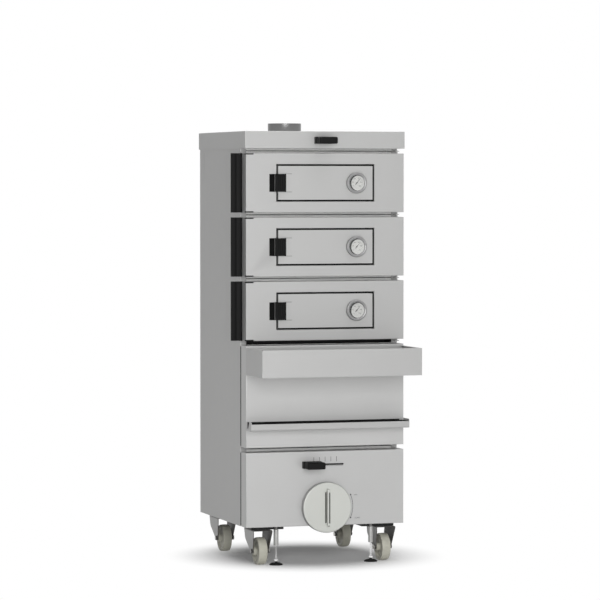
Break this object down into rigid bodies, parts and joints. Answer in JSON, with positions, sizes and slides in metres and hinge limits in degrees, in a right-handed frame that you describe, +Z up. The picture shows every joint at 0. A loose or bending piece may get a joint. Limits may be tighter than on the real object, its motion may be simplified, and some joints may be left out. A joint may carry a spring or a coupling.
{
  "type": "charcoal oven",
  "caption": "Free-standing charcoal oven with stacked hinged doors, inspection doors, fire and ash drawers, air controls, flue collar, casters and levelling feet.",
  "frame": {"origin": "centre of the bounding box on the floor", "axes": "+X to the right seen from the front, +Y to the back, +Z up"},
  "size_m": [0.6446, 0.807, 1.604],
  "materials": {
    "brushed_panel": "brushed",
    "inner_steel": "mill",
    "grate_iron": "cast",
    "black_enamel": "satin",
    "black_grip": "moulded",
    "gasket_rope": "braided",
    "grid_wire": "polished",
    "air_knob": "satin",
    "gauge": "satin",
    "needle": "satin",
    "caster_zinc": "galvanised",
    "wheel_nylon": "moulded",
    "foot": "moulded",
    "mineral_wool": "matt"
  },
  "bodies": {
    "cabinet": {"side_panel_left": "brushed_panel", "side_panel_right": "brushed_panel", "back_panel": "brushed_panel", "floor_pan": "brushed_panel", "top_cap": "brushed_panel", "flue_collar": "brushed_panel", "flue_duct": "inner_steel", "fire_casing": "inner_steel", "chamber_casing": "inner_steel", "chamber_floors": "inner_steel", "front_frames": "brushed_panel", "slot_channel": "black_enamel", "front_gaskets": "gasket_rope", "rack_rails": "inner_steel", "cooking_grids": "grid_wire", "drawer_runners": "inner_steel", "hinge_brackets": "brushed_panel", "underframe": "black_enamel", "insulation_boards": "mineral_wool"},
    "door_lower": {"door_lower": "brushed_panel", "door_grip_lower": "black_grip"},
    "inspection_lower": {"inspection_door_lower": "brushed_panel", "latch_grip_lower": "black_grip", "thermometer_lower": "gauge"},
    "needle_lower": {"needle_lower": "needle"},
    "door_middle": {"door_middle": "brushed_panel", "door_grip_middle": "black_grip"},
    "inspection_middle": {"inspection_door_middle": "brushed_panel", "latch_grip_middle": "black_grip", "thermometer_middle": "gauge"},
    "needle_middle": {"needle_middle": "needle"},
    "door_upper": {"door_upper": "brushed_panel", "door_grip_upper": "black_grip"},
    "inspection_upper": {"inspection_door_upper": "brushed_panel", "latch_grip_upper": "black_grip", "thermometer_upper": "gauge"},
    "needle_upper": {"needle_upper": "needle"},
    "fire_drawer": {"fire_front": "brushed_panel", "charcoal_basket": "inner_steel", "charcoal_grate": "grate_iron", "shelf_tray": "brushed_panel", "bar_handle": "brushed_panel"},
    "ash_drawer": {"ash_front": "brushed_panel", "ash_pan": "inner_steel"},
    "air_slider": {"air_slider_grip": "black_grip", "air_shutter": "inner_steel"},
    "air_valve": {"air_knob": "air_knob", "air_rotor": "inner_steel"},
    "damper": {"damper_grip": "black_grip", "damper_blade": "inner_steel"},
    "caster_front_left": {"caster_fork_front_left": "caster_zinc"},
    "wheel_front_left": {"caster_wheel_front_left": "wheel_nylon"},
    "caster_front_right": {"caster_fork_front_right": "caster_zinc"},
    "wheel_front_right": {"caster_wheel_front_right": "wheel_nylon"},
    "caster_rear_left": {"caster_fork_rear_left": "caster_zinc"},
    "wheel_rear_left": {"caster_wheel_rear_left": "wheel_nylon"},
    "caster_rear_right": {"caster_fork_rear_right": "caster_zinc"},
    "wheel_rear_right": {"caster_wheel_rear_right": "wheel_nylon"},
    "foot_left": {"levelling_foot_left": "foot"},
    "foot_right": {"levelling_foot_right": "foot"}
  },
  "joints": [
    {"name": "door_lower_hinge", "type": "hinge", "parent": "cabinet", "child": "door_lower", "pos_m": [0.31075, -0.1485, 0.91975], "axis": [0, 0, 1], "range_deg": [0, 105]},
    {"name": "inspection_lower_hinge", "type": "hinge", "parent": "door_lower", "child": "inspection_lower", "pos_m": [0.19225, -0.1955, 0.91975], "axis": [0, 0, 1], "range_deg": [0, 105]},
    {"name": "needle_lower_turn", "type": "hinge", "parent": "inspection_lower", "child": "needle_lower", "pos_m": [0.13575, -0.2115, 0.91975], "axis": [0, 1, 0], "range_deg": [-175, 95]},
    {"name": "door_middle_hinge", "type": "hinge", "parent": "cabinet", "child": "door_middle", "pos_m": [0.31075, -0.1485, 1.15075], "axis": [0, 0, 1], "range_deg": [0, 105]},
    {"name": "inspection_middle_hinge", "type": "hinge", "parent": "door_middle", "child": "inspection_middle", "pos_m": [0.19225, -0.1955, 1.15075], "axis": [0, 0, 1], "range_deg": [0, 105]},
    {"name": "needle_middle_turn", "type": "hinge", "parent": "inspection_middle", "child": "needle_middle", "pos_m": [0.13575, -0.2115, 1.15075], "axis": [0, 1, 0], "range_deg": [-175, 95]},
    {"name": "door_upper_hinge", "type": "hinge", "parent": "cabinet", "child": "door_upper", "pos_m": [0.31075, -0.1485, 1.38175], "axis": [0, 0, 1], "range_deg": [0, 105]},
    {"name": "inspection_upper_hinge", "type": "hinge", "parent": "door_upper", "child": "inspection_upper", "pos_m": [0.19225, -0.1955, 1.38175], "axis": [0, 0, 1], "range_deg": [0, 105]},
    {"name": "needle_upper_turn", "type": "hinge", "parent": "inspection_upper", "child": "needle_upper", "pos_m": [0.13575, -0.2115, 1.38175], "axis": [0, 1, 0], "range_deg": [-175, 95]},
    {"name": "fire_drawer_slide", "type": "slide", "parent": "cabinet", "child": "fire_drawer", "axis": [0, -1, 0], "range_m": [0, 0.38]},
    {"name": "ash_drawer_slide", "type": "slide", "parent": "cabinet", "child": "ash_drawer", "axis": [0, -1, 0], "range_m": [0, 0.36]},
    {"name": "air_slider_slide", "type": "slide", "parent": "ash_drawer", "child": "air_slider", "axis": [1, 0, 0], "range_m": [0, 0.109]},
    {"name": "air_valve_turn", "type": "hinge", "parent": "ash_drawer", "child": "air_valve", "pos_m": [0.01875, -0.2035, 0.207], "axis": [0, 1, 0], "range_deg": [-22.5, 22.5]},
    {"name": "damper_slide", "type": "slide", "parent": "cabinet", "child": "damper", "axis": [0, -1, 0], "range_m": [0, 0.11]},
    {"name": "caster_front_left_swivel", "type": "hinge", "parent": "cabinet", "child": "caster_front_left", "pos_m": [-0.21625, -0.1395, 0.128], "axis": [0, 0, 1], "range_deg": [-80, 8]},
    {"name": "wheel_front_left_spin", "type": "hinge", "parent": "caster_front_left", "child": "wheel_front_left", "pos_m": [-0.21625, -0.1555, 0.05], "axis": [1, 0, 0], "continuous": true},
    {"name": "caster_front_right_swivel", "type": "hinge", "parent": "cabinet", "child": "caster_front_right", "pos_m": [0.25375, -0.1395, 0.128], "axis": [0, 0, 1], "range_deg": [-8, 80]},
    {"name": "wheel_front_right_spin", "type": "hinge", "parent": "caster_front_right", "child": "wheel_front_right", "pos_m": [0.25375, -0.1555, 0.05], "axis": [1, 0, 0], "continuous": true},
    {"name": "caster_rear_left_swivel", "type": "hinge", "parent": "cabinet", "child": "caster_rear_left", "pos_m": [-0.21625, 0.3155, 0.128], "axis": [0, 0, 1], "continuous": true},
    {"name": "wheel_rear_left_spin", "type": "hinge", "parent": "caster_rear_left", "child": "wheel_rear_left", "pos_m": [-0.21625, 0.2995, 0.05], "axis": [1, 0, 0], "continuous": true},
    {"name": "caster_rear_right_swivel", "type": "hinge", "parent": "cabinet", "child": "caster_rear_right", "pos_m": [0.25375, 0.3155, 0.128], "axis": [0, 0, 1], "continuous": true},
    {"name": "wheel_rear_right_spin", "type": "hinge", "parent": "caster_rear_right", "child": "wheel_rear_right", "pos_m": [0.25375, 0.2995, 0.05], "axis": [1, 0, 0], "continuous": true},
    {"name": "foot_left_screw", "type": "slide", "parent": "cabinet", "child": "foot_left", "axis": [0, 0, 1], "range_m": [0, 0.025]},
    {"name": "foot_right_screw", "type": "slide", "parent": "cabinet", "child": "foot_right", "axis": [0, 0, 1], "range_m": [0, 0.025]}
  ]
}
